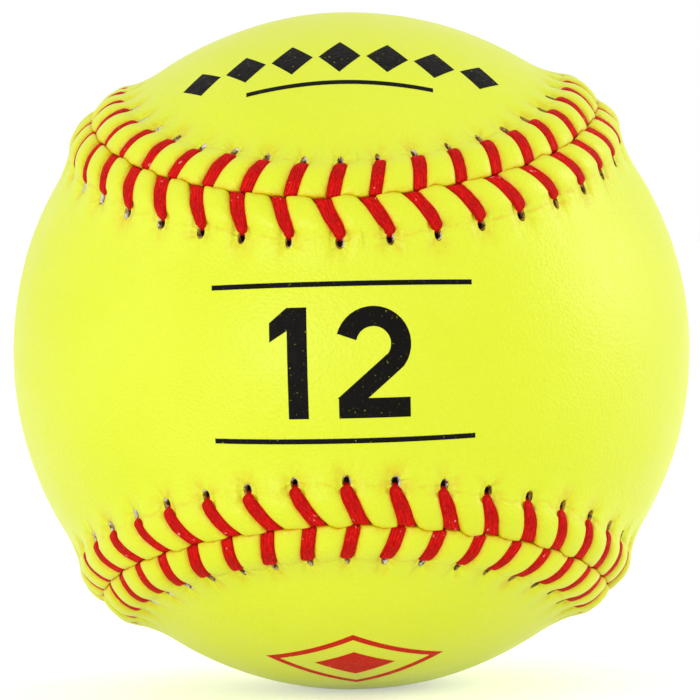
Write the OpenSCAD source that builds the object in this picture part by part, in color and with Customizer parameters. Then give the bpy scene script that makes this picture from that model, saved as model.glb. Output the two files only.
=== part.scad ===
// Softball: a moulded core, a coat of cement and two leather panels sewn edge to edge.
// The origin is the centre of the ball, +Z is up and the front panel's waist faces -Y.
// Places on the cover are given along the seam line, across it and above the smooth leather.

/* [Ball] */
// Diameter over the smooth leather
ball_d = 97; // [80:0.5:130]
// Thickness of the cover leather
leather_t = 1.35; // [1:0.05:2]
// Clearance under the flat facets of the cover
bond_gap = 0.25; // [0.2:0.05:0.6]
// Thickness of the cement coat
cement_t = 0.15; // [0.05:0.05:0.5]

/* [Seam line] */
// Width of a panel's waist, measured over the leather
waist_w = 44.4; // [36:0.2:52]
// Angle by which the seam line swings out of a plain wave, in degrees
swing_a = 19.7; // [10:0.1:24]
// Angle by which the turns of the seam line are drawn in, in degrees
turn_a = 1.45; // [0:0.05:3]
// Number of stitches in each panel
stitches = 88; // [72:4:112]

/* [Raised seam] */
// Distance from the seam line to the crest of the ridge
crest_d = 2.8; // [2.2:0.1:3.6]
// Distance from the seam line to the foot of the ridge
foot_d = 9; // [8:0.1:12]
// Height by which the leather puffs up between two stitches
puff_h = 1.05; // [0.3:0.05:1.6]
// Gap between the two panels, midway between two stitches
edge_gap = 0.24; // [0.1:0.02:0.5]

/* [Stitch holes] */
// Distance from the seam line to the middle of a hole
hole_d = 6.4; // [5.6:0.1:7]
// Length of a hole across the seam
hole_l = 1.4; // [1.2:0.05:1.7]
// Width of a hole along the seam
hole_w = 0.9; // [0.7:0.05:1.2]

/* [Thread] */
// Width of the flat thread where it lies over the ridge
thread_w = 1.7; // [1:0.05:2]
// Thickness of the thread
thread_t = 0.7; // [0.4:0.05:0.9]
// Width of the thread where it dives between the panels
dive_w = 0.8; // [0.5:0.05:1]
// Clearance between the thread and what it passes
thread_gap = 0.05; // [0.04:0.01:0.08]
// Distance by which a stitch meets the seam ahead of its holes
stitch_lead = 1.75; // [0.8:0.05:2.2]

/* [Mesh] */
// Greatest spacing of the points on the smooth leather
point_step = 5.5; // [3:0.5:8]

/* [Hidden] */

$fn = 96;
ball_r = ball_d / 2;
cement_r = ball_r - leather_t - bond_gap;
core_r = cement_r - cement_t;
degrees_per_radian = 180 / PI;
waist_a = waist_w / ball_r / 2 * degrees_per_radian;

// The front panel lies on the positive side of the seam line and the back panel on the other
FRONT = 1;
BACK = -1;

// Heights of the leather, as shares of the room that the buried thread needs
lift = thread_t + 3 * thread_gap;
edge_lift_share = 1.1;
round_lift_share = 1.3;
crest_lift_share = 1.45;
hole_out_lift_share = 0.4;

// Extra heights midway between two stitches, as shares of the puff
edge_puff_share = 0.72;
round_puff_share = 0.95;
hole_in_puff_share = 0.55;
hole_out_puff_share = 0.22;

// The rounding of the panel's edge, as a share of the way to the crest
round_share = 0.4;
round_d = crest_d * round_share;
hole_in_d = hole_d - hole_l / 2;
hole_out_d = hole_d + hole_l / 2;
edge_open_d = thread_t / 2 + thread_gap;

// Where a thread bends over an edge, its outer corner stands off by these shares of its thickness
hole_bend_shares = [0.75, 0.6];
dive_bend_shares = [0.65, 0.75];
// The thread is drawn narrower as it nears the dive
neck_share = 0.7;

dive_offset = dive_w / 2 + 2 * thread_gap;
// The two threads of a stitch part as they dive, by this share of their width
dive_spread_share = 0.3;
dive_spread = dive_w * dive_spread_share;
dive_open_w = dive_offset + dive_w / 2 + 2 * thread_gap;
groove_w = thread_w / 2 + 2 * thread_gap;
thread_in_hole_w = hole_w / 2 - 2 * thread_gap;

// Direction from the centre of the ball to the seam line, for a turn t once round the seam
function seam_dir(t) =
    let (tilt = 90 - (90 - waist_a) * cos(2 * t) + turn_a * (cos(6 * t) - cos(2 * t)))
    let (turn = t + swing_a * sin(4 * t))
    [-sin(tilt) * sin(turn), -cos(tilt), sin(tilt) * cos(turn)];

// Length of the seam line up to each of a fine row of turns
seam_steps = 1440;
turn_step = 360 / seam_steps;
function seam_stretch(i) = ball_r * norm(seam_dir((i + 1) * turn_step) - seam_dir(i * turn_step));
seam_table = [
    for (i = 0, s = 0; i <= seam_steps; s = s + seam_stretch(i), i = i + 1)
        [s, i * turn_step]
];
seam_l = seam_table[seam_steps][0];
pitch = seam_l / stitches;
function seam_turn(s) = lookup(s - seam_l * floor(s / seam_l), seam_table);

// Point at s along the seam line, d across it towards the front panel, h above the smooth leather
function unit(v) = v / norm(v);
function place(s, d, h) =
    let (t = seam_turn(s))
    let (outward = seam_dir(t))
    let (along = unit(seam_dir(t + turn_step) - seam_dir(t - turn_step)))
    let (across = cross(outward, along))
    let (a = d / ball_r * degrees_per_radian)
    (outward * cos(a) + across * sin(a)) * (ball_r + h);

// How far ahead of its hole a stitch lies, at d from the seam line
function dive_lead(side) = stitch_lead + side * dive_offset;
function lead(side, d) = dive_lead(side) * max(0, 1 - d / hole_in_d);

// Rows of a panel from its edge to its holes. Each gives the distance and height in the groove
// under a stitch, the distance and height midway between stitches, the groove's half width
// and the stitch's lead there.
function panel_rows(side) = [
    [edge_open_d, lift * edge_lift_share,
        edge_gap / 2, lift * edge_lift_share + puff_h * edge_puff_share,
        dive_open_w, stitch_lead],
    [round_d, lift * round_lift_share,
        round_d, lift * round_lift_share + puff_h * round_puff_share,
        groove_w * (1 + neck_share) / 2, lead(side, round_d)],
    [crest_d, lift * crest_lift_share,
        crest_d, lift * crest_lift_share + puff_h,
        groove_w, lead(side, crest_d)],
    [hole_in_d, lift,
        hole_in_d, lift + puff_h * hole_in_puff_share,
        hole_w / 2, 0],
    [hole_out_d, lift * hole_out_lift_share,
        hole_out_d, lift * hole_out_lift_share + puff_h * hole_out_puff_share,
        hole_w / 2, 0]
];

// Three points of a row at one stitch: the groove's two sides and the puffed leather after it
function row_points(side, row, s, drop) = [
    place(s + row[5] - row[4], side * row[0], row[1] - drop),
    place(s + row[5] + row[4], side * row[0], row[1] - drop),
    place(s + row[5] + pitch / 2, side * row[2], row[3] - drop)
];

// Points on the great circle from one foot point of a panel to another, without its ends
function rung_count(a, b) = max(1, ceil(ball_r * rung_angle(a, b) / degrees_per_radian / point_step));
function rung_angle(a, b) = 2 * asin(min(1, norm(unit(a) - unit(b)) / 2));
function rung_points(a, b, count) =
    let (w = rung_angle(a, b))
    [for (i = [1:1:count - 1]) (a * sin(w * (1 - i / count)) + b * sin(w * i / count)) / sin(w)];

// Triangles between two lines of points, given by their numbers, that run the same way
function zip_lines(a, b) =
    let (n = len(a) - 1)
    let (m = len(b) - 1)
    [
        for (
            i = 0, j = 0, step_a = n > 0 && (m == 0 || 1 / n <= 1 / m);
            i < n || j < m;
            i = step_a ? i + 1 : i,
            j = step_a ? j : j + 1,
            step_a = j >= m || (i < n && (i + 1) / n <= (j + 1) / m)
        )
            step_a ? [a[i], b[j], a[i + 1]] : [a[i], b[j], b[j + 1]]
    ];

function turned(faces) = [for (f = faces) [f[0], f[2], f[1]]];
function quad(a, b, c, d) = [[a, b, c], [a, c, d]];
function joined(lists) = [for (l = lists) each l];

// Numbers of the rows' points: the outer face has five rows and the inner face four
outer_rows = [0, 1, 2, 3, 4];
inner_rows = [0, 2, 3, 4];
row_size = 3 * stitches;
function number(row, k, c) = row * row_size + (3 * k + c + row_size) % row_size;
function band(a, b, k, c) = quad(number(a, k, c), number(a, k, c + 1), number(b, k, c + 1), number(b, k, c));
foot_start = (len(outer_rows) + len(inner_rows)) * row_size;
function foot_number(face, k) = foot_start + face * stitches + (k + stitches) % stitches;
rung_start = foot_start + 2 * stitches;

// The row at the holes' outer side, joined to the foot of the ridge
function foot_band(row, face, k) = [
    [number(row, k, 0), number(row, k, 1), foot_number(face, k)],
    [number(row, k, 1), number(row, k, 2), foot_number(face, k)],
    [number(row, k, 2), foot_number(face, k + 1), foot_number(face, k)],
    [number(row, k, 2), number(row, k + 1, 0), foot_number(face, k + 1)]
];

// The four walls of a stitch hole, between rows a and b outside and rows c and d inside
function hole_walls(k, a, b, c, d) = joined([
    quad(number(c, k, 1), number(c, k, 0), number(a, k, 0), number(a, k, 1)),
    quad(number(d, k, 0), number(d, k, 1), number(b, k, 1), number(b, k, 0)),
    quad(number(c, k, 0), number(d, k, 0), number(b, k, 0), number(a, k, 0)),
    quad(number(d, k, 1), number(c, k, 1), number(a, k, 1), number(b, k, 1))
]);

// One leather panel, with its puffed edge, its stitch holes and its true thickness
module cover_panel(side) {
    start = side == FRONT ? 0 : seam_l / 4;
    rows = panel_rows(side);
    stations = [0:1:stitches - 1];
    quarter = stitches / 4;
    rungs = [-quarter:1:quarter];
    drops = [0, leather_t];
    foot = [
        for (drop = drops)
            [for (k = stations) place(start + k * pitch, side * foot_d, -drop)]
    ];
    counts = [
        for (k = rungs)
            abs(k) == quarter ? 0
            : rung_count(foot[0][(k + stitches) % stitches], foot[0][stitches / 2 - k])
    ];
    rung_sizes = [for (n = counts) max(0, n - 1)];
    rung_offsets = [
        for (i = 0, at = 0; i < len(counts); at = at + rung_sizes[i], i = i + 1)
            at
    ];
    face_size = rung_offsets[len(counts) - 1] + rung_sizes[len(counts) - 1];
    points = concat(
        [for (r = outer_rows, k = stations) each row_points(side, rows[r], start + k * pitch, 0)],
        [for (r = inner_rows, k = stations) each row_points(side, rows[r], start + k * pitch, leather_t)],
        foot[0],
        foot[1],
        [
            for (face = [0, 1], k = rungs)
                let (a = foot[face][(k + stitches) % stitches])
                let (b = foot[face][(stitches / 2 - k) % stitches])
                each abs(k) == quarter ? [] : rung_points(a, b, counts[k + quarter])
        ]
    );
    function rung_line(face, k) = abs(k) == quarter ? [foot_number(face, k)] : concat(
        [foot_number(face, k)],
        [for (i = [0:1:rung_sizes[k + quarter] - 1]) rung_start + face * face_size + rung_offsets[k + quarter] + i],
        [foot_number(face, stitches / 2 - k)]
    );
    outer = concat(
        [for (r = [0, 1, 2], k = stations, c = [0, 1, 2]) each band(r, r + 1, k, c)],
        [for (k = stations, c = [1, 2]) each band(3, 4, k, c)],
        [for (k = stations) each foot_band(4, 0, k)],
        [for (k = [-quarter:1:quarter - 1]) each zip_lines(rung_line(0, k), rung_line(0, k + 1))]
    );
    inner = concat(
        [for (r = [5, 6], k = stations, c = [0, 1, 2]) each band(r, r + 1, k, c)],
        [for (k = stations, c = [1, 2]) each band(7, 8, k, c)],
        [for (k = stations) each foot_band(8, 1, k)],
        [for (k = [-quarter:1:quarter - 1]) each zip_lines(rung_line(1, k), rung_line(1, k + 1))]
    );
    edge = [for (k = stations, c = [0, 1, 2]) each band(5, 0, k, c)];
    walls = [for (k = stations) each hole_walls(k, 3, 4, 7, 8)];
    faces = concat(outer, turned(inner), edge, walls);
    polyhedron(points = points, faces = side == FRONT ? turned(faces) : faces);
}

// Corners of the thread at one place: its half width along the seam, and the distance and
// height of its side next to the leather and of its other side
function thread_ring(side, s, w, near, far) =
    let (near_pair = [place(s - w, side * near[0], near[1]), place(s + w, side * near[0], near[1])])
    let (far_pair = [place(s - w, side * far[0], far[1]), place(s + w, side * far[0], far[1])])
    side == FRONT
        ? [near_pair[0], near_pair[1], far_pair[1], far_pair[0]]
        : [far_pair[0], far_pair[1], near_pair[1], near_pair[0]];

// One stitch: up through the hole, over the ridge and down between the panels
function stitch_rings(side, s) =
    let (hole_side = hole_in_d + thread_gap)
    let (hole_top = lift + thread_gap)
    let (crest_h = lift * crest_lift_share + thread_gap)
    let (round_h = lift * round_lift_share + thread_gap)
    let (dive_top = lift * edge_lift_share + thread_gap)
    let (buried_top = thread_t - leather_t)
    let (dive_s = s + dive_lead(side))
    [
        thread_ring(side, s, thread_in_hole_w,
            [hole_side, buried_top], [hole_side + thread_t, -leather_t]),
        thread_ring(side, s, thread_in_hole_w,
            [hole_side, hole_top], [hole_side, hole_top] + thread_t * hole_bend_shares),
        thread_ring(side, s + lead(side, crest_d), thread_w / 2,
            [crest_d, crest_h], [crest_d, crest_h + thread_t]),
        thread_ring(side, s + lead(side, round_d), thread_w / 2 * neck_share,
            [round_d, round_h], [round_d, round_h + thread_t]),
        thread_ring(side, dive_s, dive_w / 2,
            [thread_t / 2, dive_top],
            [thread_t / 2 - thread_t * dive_bend_shares[0], dive_top + thread_t * dive_bend_shares[1]]),
        thread_ring(side, dive_s + side * dive_spread, dive_w / 2,
            [thread_t / 2, -leather_t], [-thread_t / 2, buried_top])
    ];

// One unbroken thread that stitches the two panels in turn and runs under the leather between
module needle_thread(first_side) {
    rings = [
        for (k = [0:1:stitches - 1])
            each stitch_rings(k % 2 == 0 ? first_side : -first_side, k * pitch)
    ];
    total = len(rings);
    faces = [
        for (i = [0:1:total - 1], e = [0, 1, 2, 3])
            let (a = 4 * i)
            let (b = 4 * ((i + 1) % total))
            let (f = (e + 1) % 4)
            each quad(a + e, b + e, b + f, a + f)
    ];
    polyhedron(points = joined(rings), faces = faces);
}

module core() {
    color("#d9c79a")
    sphere(r = core_r);
}

module cement_coat() {
    color("#efe6c8")
    difference() {
        sphere(r = cement_r);
        sphere(r = core_r);
    }
}

module front_cover_panel() {
    color("#e6f03c")
    cover_panel(FRONT);
}

module back_cover_panel() {
    color("#e2ee34")
    cover_panel(BACK);
}

module first_needle_thread() {
    color("#cc2a26")
    needle_thread(FRONT);
}

module second_needle_thread() {
    color("#c42420")
    needle_thread(BACK);
}

core();
cement_coat();
front_cover_panel();
back_cover_panel();
first_needle_thread();
second_needle_thread();
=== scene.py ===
import math

import bpy
import numpy as np
from mathutils import Matrix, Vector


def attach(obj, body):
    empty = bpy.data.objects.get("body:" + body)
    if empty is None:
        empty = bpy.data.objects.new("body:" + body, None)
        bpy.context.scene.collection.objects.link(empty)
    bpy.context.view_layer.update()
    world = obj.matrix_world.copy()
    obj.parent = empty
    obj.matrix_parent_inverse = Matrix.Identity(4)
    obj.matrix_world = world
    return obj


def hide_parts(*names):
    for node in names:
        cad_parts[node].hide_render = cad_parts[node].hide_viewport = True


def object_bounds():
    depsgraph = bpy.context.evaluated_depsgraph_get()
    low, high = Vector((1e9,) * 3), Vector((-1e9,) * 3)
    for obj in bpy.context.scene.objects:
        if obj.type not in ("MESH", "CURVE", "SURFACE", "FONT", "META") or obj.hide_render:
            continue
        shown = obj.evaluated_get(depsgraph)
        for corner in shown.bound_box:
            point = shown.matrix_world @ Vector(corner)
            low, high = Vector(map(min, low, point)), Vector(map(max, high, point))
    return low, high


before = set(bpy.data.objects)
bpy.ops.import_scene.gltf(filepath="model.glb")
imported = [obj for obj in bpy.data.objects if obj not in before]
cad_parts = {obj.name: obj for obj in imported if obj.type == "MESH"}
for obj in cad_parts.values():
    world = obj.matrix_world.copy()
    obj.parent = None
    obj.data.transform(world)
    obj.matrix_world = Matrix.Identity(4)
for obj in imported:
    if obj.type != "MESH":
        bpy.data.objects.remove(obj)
cad_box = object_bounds()

# Lengths are in millimetres and angles in radians until a mesh is made
MM = 0.001

# The ball and its seam line
BALL_R = 48.5
LEATHER_T = 1.35
WAIST_W = 44.4
SWING_A = math.radians(19.7)
TURN_A = math.radians(1.45)
STITCHES = 88
FRONT, BACK = 1, -1

# The stitch holes, measured from the seam line
HOLE_D = 6.05
HOLE_HALF_L = 0.95
HOLE_HALF_W = 0.51

# Where a strand turns into its hole, and how far ahead of the hole it meets the seam
FOLD_D = 5.1
LEADS = {FRONT: 2.24, BACK: 0.95}

# Heights of the leather by distance from the seam line, midway between stitches
PUFF_HEIGHTS = [
    (0.006, 1.60), (0.06, 1.75), (0.18, 1.89), (0.45, 2.04), (0.9, 2.19), (1.6, 2.29), (2.4, 2.34),
    (3.2, 2.29), (4.0, 2.09), (4.7, 1.76), (5.2, 1.45), (5.7, 1.16), (6.3, 0.89), (7.1, 0.61),
    (8.0, 0.37), (9.0, 0.17), (10.0, 0.05), (11.0, 0.0),
]
# And in the groove under a strand
GROOVE_HEIGHTS = [
    (0.006, 0.62), (0.3, 0.82), (0.6, 0.98), (1.1, 1.16), (1.7, 1.31), (2.5, 1.39), (3.3, 1.31),
    (4.1, 1.11), (4.7, 0.92), (5.2, 0.77), (5.8, 0.60), (6.5, 0.45), (7.3, 0.31), (8.2, 0.19),
    (9.0, 0.10), (10.0, 0.03), (11.0, 0.0),
]
# Half widths of a strand by distance from the seam line
STRAND_HALF_WIDTHS = {
    FRONT: [(0.0, 1.18), (1.3, 1.06), (2.6, 1.02), (3.7, 0.98), (4.4, 0.90), (4.9, 0.79), (5.1, 0.73)],
    BACK: [(0.0, 0.93), (1.3, 0.98), (2.6, 1.02), (3.6, 1.06), (4.4, 1.06), (4.9, 1.01), (5.1, 0.95)],
}
STRAND_HALF_T = 0.28
# How far the panels' cut edges stand back from the seam line, and over what distance that ends
EDGE_OPEN = 0.38
EDGE_REACH = 0.8
# Over what distance from the hole row a hole's own shift is felt
HOLE_REACH = 1.3


def unit(v):
    return v / np.linalg.norm(v, axis=-1, keepdims=True)


def curve(x, knots):
    """Smooth curve through knots of place and value, level beyond its ends."""
    xs, ys = np.array(knots, float).T
    slope = np.gradient(ys, xs)
    x = np.clip(x, xs[0], xs[-1])
    i = np.clip(np.searchsorted(xs, x) - 1, 0, len(xs) - 2)
    w = xs[i + 1] - xs[i]
    f = (x - xs[i]) / w
    rise = (1 + 2 * f) * (1 - f) ** 2 * ys[i] + f * f * (3 - 2 * f) * ys[i + 1]
    return rise + w * f * (1 - f) * ((1 - f) * slope[i] - f * slope[i + 1])


def seam_dir(t):
    """Direction from the ball's centre to the seam line, for a turn t once round the seam."""
    waist_a = WAIST_W / BALL_R / 2
    tilt = np.pi / 2 - (np.pi / 2 - waist_a) * np.cos(2 * t)
    tilt = tilt + TURN_A * (np.cos(6 * t) - np.cos(2 * t))
    turn = t + SWING_A * np.sin(4 * t)
    return np.stack([-np.sin(tilt) * np.sin(turn), -np.cos(tilt), np.sin(tilt) * np.cos(turn)], -1)


SEAM_TURNS = np.linspace(0, 2 * np.pi, 7201)
SEAM_STEPS = BALL_R * np.linalg.norm(np.diff(seam_dir(SEAM_TURNS), axis=0), axis=1)
SEAM_REACH = np.concatenate([[0], np.cumsum(SEAM_STEPS)])
SEAM_L = SEAM_REACH[-1]
PITCH = SEAM_L / STITCHES


def place(s, d, h):
    """Point at s along the seam line, d across it towards the front panel, h above the leather."""
    s, d, h = np.broadcast_arrays(s, d, h)
    t = np.interp(np.mod(s, SEAM_L), SEAM_REACH, SEAM_TURNS)
    step = 1e-4
    outward = seam_dir(t)
    along = unit(seam_dir(t + step) - seam_dir(t - step))
    across = np.cross(outward, along)
    a = (d / BALL_R)[..., None]
    return (outward * np.cos(a) + across * np.sin(a)) * (BALL_R + h)[..., None]


def uneven_stitches(seed, along=0.0):
    """Hand sewing's small faults, one of each for every stitch."""
    rng = np.random.default_rng(seed)

    def spread(size):
        return np.clip(rng.normal(0, size, STITCHES), -2 * size, 2 * size)

    return {
        "wander": spread(0.16),
        "along": along + spread(0.10),
        "across": spread(0.10),
        "lead": spread(0.13),
        "widen": spread(0.05),
        "puff": spread(0.04),
    }


UNEVEN = {FRONT: uneven_stitches(11), BACK: uneven_stitches(29, -0.20)}


def hole_share(d):
    """How far a strand's line has come from the seam to its hole."""
    return np.clip(d / FOLD_D, 0, 1)


def edge_gap(d):
    """How far the leather is drawn back from the seam line, at d from it."""
    return EDGE_OPEN * np.exp(-d / EDGE_REACH)


def near_hole(d):
    """One at the hole row, easing to nought away from it."""
    return np.exp(-(((d - HOLE_D) / HOLE_REACH) ** 2))


def swell(points):
    """Slow unevenness of the leather over the core, for points on the ball."""
    n = unit(points)
    waves = (
        np.sin(7.3 * n[:, 0] + 2.1 * n[:, 2] + 0.4)
        + np.sin(6.1 * n[:, 1] - 4.4 * n[:, 0] + 1.9)
        + np.sin(8.7 * n[:, 2] + 3.7 * n[:, 1] + 5.2)
        + 0.6 * np.sin(17.0 * n[:, 0] - 9.0 * n[:, 1] + 2.7)
        + 0.6 * np.sin(15.0 * n[:, 2] + 11.0 * n[:, 0] + 0.8)
    )
    return points + n * (0.022 * waves[:, None])


def add_object(name, data):
    """A new object in the scene."""
    made = bpy.data.objects.new(name, data)
    bpy.context.scene.collection.objects.link(made)
    return made


def give_points(mesh, name, values):
    """Each point of a mesh takes a number, or a vector where the values have rows."""
    kind, field = ("FLOAT", "value") if values.ndim == 1 else ("FLOAT_VECTOR", "vector")
    data = mesh.attributes.new(name, kind, "POINT").data
    data.foreach_set(field, values.astype(np.float32).reshape(-1))


def make_mesh(name, points, faces, smooth_angle=None):
    """An object at the origin from points in millimetres and faces, with unused points left out."""
    faces = np.asarray(faces)
    used, numbers = np.unique(faces, return_inverse=True)
    mesh = bpy.data.meshes.new(name)
    mesh.from_pydata((points[used] * MM).tolist(), [], numbers.reshape(faces.shape).tolist())
    mesh.shade_smooth()
    if smooth_angle:
        mesh.set_sharp_from_angle(angle=smooth_angle)
    return add_object(name, mesh), used


def zip_lines(a, b):
    """Triangles between two lines of point numbers that run the same way."""
    n, m = len(a) - 1, len(b) - 1
    i = j = 0
    found = []
    while i < n or j < m:
        if j >= m or (i < n and (i + 1) * m <= (j + 1) * n):
            found.append((a[i], b[j], a[i + 1]))
            i += 1
        else:
            found.append((a[i], b[j], b[j + 1]))
            j += 1
    return found


# The leather's grid: columns along each stitch and rows away from the seam line
GROOVE_COLUMNS = np.array([-1, -0.62, -0.3, 0, 0.3, 0.62, 1])
PUFF_COLUMNS = np.array([0.04, 0.10, 0.18, 0.28, 0.39, 0.5, 0.61, 0.72, 0.82, 0.90, 0.96])
COLUMNS = len(GROOVE_COLUMNS) + len(PUFF_COLUMNS)
ROWS = np.array([
    0.006, 0.05, 0.12, 0.22, 0.38, 0.6, 0.85, 1.15, 1.5, 1.85, 2.2, 2.55, 2.9, 3.25, 3.6, 3.95,
    4.25, 4.55, 4.85, 5.13, 5.42, 5.73, 6.05, 6.37, 6.68, 6.97, 7.3, 7.8, 8.4, 9.2, 10.1,
])
# The block of cells that each hole is cut from
HOLE_COLUMNS = (1, 5)
HOLE_ROWS = (19, 25)
GROOVE_SPARE = 0.98
# The groove widens to the dimple round a hole from here on
HOLE_GROOVE_W = 1.0
HOLE_GROOVE_D = 4.3
DIMPLE_H = 0.20
DIMPLE_R = 1.25
# The leather climbs a strand's side by this share of its half thickness, up to the strand's end
CLIMB_SHARE = 1.15
CLIMB_END_D = 5.2
# The seam bows to the back panel between stitches, and the back panel hangs over the front strands:
# how far, where along the pitch and over what share of it
SEAM_BOW, BOW_AT, BOW_REACH = 0.05, 0.56, 0.16
SEAM_HANG, HANG_AT, HANG_REACH = 0.16, 0.26, 0.12
SWAY_REACH = 1.2
# How far from a strand and from the seam the leather takes painted shade, as in a crease
SHADE_BESIDE, SHADE_SEAM = 0.28, 0.3


def groove_half_width(side, d):
    """Half width of the groove that holds a strand, and of the dimple round its hole."""
    strand = curve(d, STRAND_HALF_WIDTHS[side]) * GROOVE_SPARE
    dimple = HOLE_GROOVE_W * np.clip((d - 3.7) / 1.1, 0, 1)
    return np.where(d > HOLE_GROOVE_D, np.maximum(strand, dimple), strand)


def outer_grid(side):
    """Places of the outer leather's grid near the seam: along, across and height, by stitch."""
    uneven = UNEVEN[side]
    d = ROWS[None, None, :]
    k = np.arange(STITCHES)
    lead = (LEADS[side] + uneven["lead"])[:, None] * (1 - hole_share(ROWS))[None, :]
    centre = k[:, None] * PITCH + lead + uneven["along"][:, None] * hole_share(ROWS)[None, :]
    half = groove_half_width(side, ROWS)[None, :] * (1 + uneven["widen"])[:, None]
    centre, half = centre[:, None, :], half[:, None, :]
    after = np.roll(centre, -1, axis=0)
    after[-1] += SEAM_L
    after_half = np.roll(half, -1, axis=0)

    q = GROOVE_COLUMNS[None, :, None]
    groove_s = centre + q * half
    # The leather climbs to the middle of the strand's side, and puffs up from there
    climb = STRAND_HALF_T * CLIMB_SHARE * np.clip((CLIMB_END_D - d) / 0.8, 0, 1)
    groove_h = curve(d, GROOVE_HEIGHTS) + climb * np.clip((np.abs(q) - 0.7) / 0.3, 0, 1) + 0 * groove_s
    f = PUFF_COLUMNS[None, :, None]
    puff_s = (centre + half) * (1 - f) + (after - after_half) * f
    # Full pillows, and fuller still beside the seam
    arch = (1 - np.abs(2 * f - 1) ** 2.7) ** (0.60 - 0.22 * np.exp(-d / 0.6))
    lift = (1 + uneven["puff"])[:, None, None]
    crest = curve(d, PUFF_HEIGHTS) * lift
    puff_h = (curve(d, GROOVE_HEIGHTS) + climb) * (1 - arch) + crest * arch
    s = np.concatenate([groove_s, puff_s], axis=1)
    h = np.concatenate([groove_h, puff_h], axis=1)
    beside_q = 0.25 - 4 * np.minimum(PUFF_COLUMNS, 1 - PUFF_COLUMNS)
    opening = np.concatenate([1 - 0.75 * np.abs(GROOVE_COLUMNS) ** 2.5, np.maximum(0, beside_q)])
    opened = d + opening[None, :, None] * edge_gap(d)

    # Each hole's own shift across the seam, eased away from it
    near = near_hole(ROWS)[None, None, :]
    shift = uneven["across"]
    blend = np.concatenate([0 * GROOVE_COLUMNS, PUFF_COLUMNS])[None, :, None]
    shifts = shift[:, None, None] * (1 - blend) + np.roll(shift, -1)[:, None, None] * blend
    # The seam wanders to the back panel between stitches, and the back panel hangs over the front strands
    along = (s - (LEADS[FRONT] + LEADS[BACK]) / 2) / PITCH
    phase = along - np.floor(along)
    wander = UNEVEN[FRONT]["wander"][np.floor(along).astype(int) % STITCHES] - SEAM_BOW
    sway = wander * np.exp(-(((phase - BOW_AT) / BOW_REACH) ** 2))
    sway += SEAM_HANG * np.exp(-(((phase - HANG_AT) / HANG_REACH) ** 2))
    d_all = opened + shifts * near + side * sway * np.exp(-d / SWAY_REACH)

    # Painted shade: how close the leather lies to a strand or the other panel, which darkens its colour there
    width = after - after_half - centre - half
    beside = np.concatenate([0 * groove_s, np.minimum(f, 1 - f) * width], axis=1)
    crease_shade = np.exp(-beside / SHADE_BESIDE) * np.clip((5.5 - d) / 0.7, 0, 1)
    crease_shade = np.maximum(crease_shade, np.exp(-d / SHADE_SEAM))

    # Where each point lies from its nearest hole
    local = s - centre
    late = local > PITCH / 2
    k_all = np.broadcast_to(k[:, None, None], s.shape)
    nearest = np.where(late, (k_all + 1) % STITCHES, k_all)

    # The hole's outline, on the edge of its block of cells
    (j0, j1), (r0, r1) = HOLE_COLUMNS, HOLE_ROWS
    x = np.linspace(-1, 1, j1 - j0 + 1)[None, :, None]
    y = np.linspace(-1, 1, r1 - r0 + 1)[None, None, :]
    hole_w = HOLE_HALF_W * (1 + 2 * uneven["widen"])[:, None, None]
    hole_s = centre[:, :, -1:] + x * np.sqrt(1 - y * y / 2) * hole_w
    hole_d = HOLE_D + y * np.sqrt(1 - x * x / 2) * HOLE_HALF_L + shift[:, None, None]
    s[:, j0 : j1 + 1, r0 : r1 + 1] = hole_s
    d_all[:, j0 : j1 + 1, r0 : r1 + 1] = hole_d
    from_s = np.where(late, s - after, s - centre[:, :, -1:])
    from_d = d_all - HOLE_D - shift[:, None, None]
    spot = np.stack([from_s, from_d, nearest + 0 * s], -1)
    h -= DIMPLE_H * np.exp(-((np.hypot(from_s, 0.7 * from_d) / DIMPLE_R) ** 2))
    return s, d_all, h, spot, crease_shade


def hole_rim_cells():
    """Grid cells round the outline of a hole's block, in order, as column and row."""
    (j0, j1), (r0, r1) = HOLE_COLUMNS, HOLE_ROWS
    rim = [(j, r0) for j in range(j0, j1)] + [(j1, r) for r in range(r0, r1)]
    rim += [(j, r1) for j in range(j1, j0, -1)] + [(j0, r) for r in range(r1, r0, -1)]
    return rim


# The underside's rows and the spacing of the points on the smooth leather
UNDER_ROWS = [0.06, 2.5, 5.2, 6.6]
UNDER_FOOT = 9.3
UNDER_HALF_W = 0.42
SMOOTH_D = 11.2
SMOOTH_PER_STITCH = 5
SMOOTH_STEP = 1.15
UNDER_STEP = 5.5
# Loops down a hole's wall: size beside the rim, shift towards the seam, and depth
WALL_LOOPS = ((0.95, 0.02, 0.06), (0.74, 0.10, 0.27), (0.56, 0.20, 0.72))
# How far the leather shows its cut side at the rim and at each of these loops; the lowest loops are painted
# near black, as shade
CUT_AND_SHADE_SHARES = (0.0, 0.35, 0.75, 1.0)
# Creases sharper than this show as edges
COVER_SHARP_A = math.radians(50)
PRINT_SHARP_A = math.radians(40)


class Builder:
    """Points and triangles gathered for one piece."""

    def __init__(self):
        self.points = []
        self.count = 0
        self.faces = []

    def add(self, points):
        points = np.asarray(points).reshape(-1, 3)
        first = self.count
        self.points.append(points)
        self.count += len(points)
        return first + np.arange(len(points))

    def quads(self, a, b, c, d):
        a, b, c, d = (np.ravel(x) for x in (a, b, c, d))
        self.faces.append(np.stack([a, b, c], -1))
        self.faces.append(np.stack([a, c, d], -1))

    def triangles(self, rows, turned=False):
        if len(rows):
            self.faces.append(np.array(rows)[:, [0, 2, 1] if turned else [0, 1, 2]])


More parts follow.
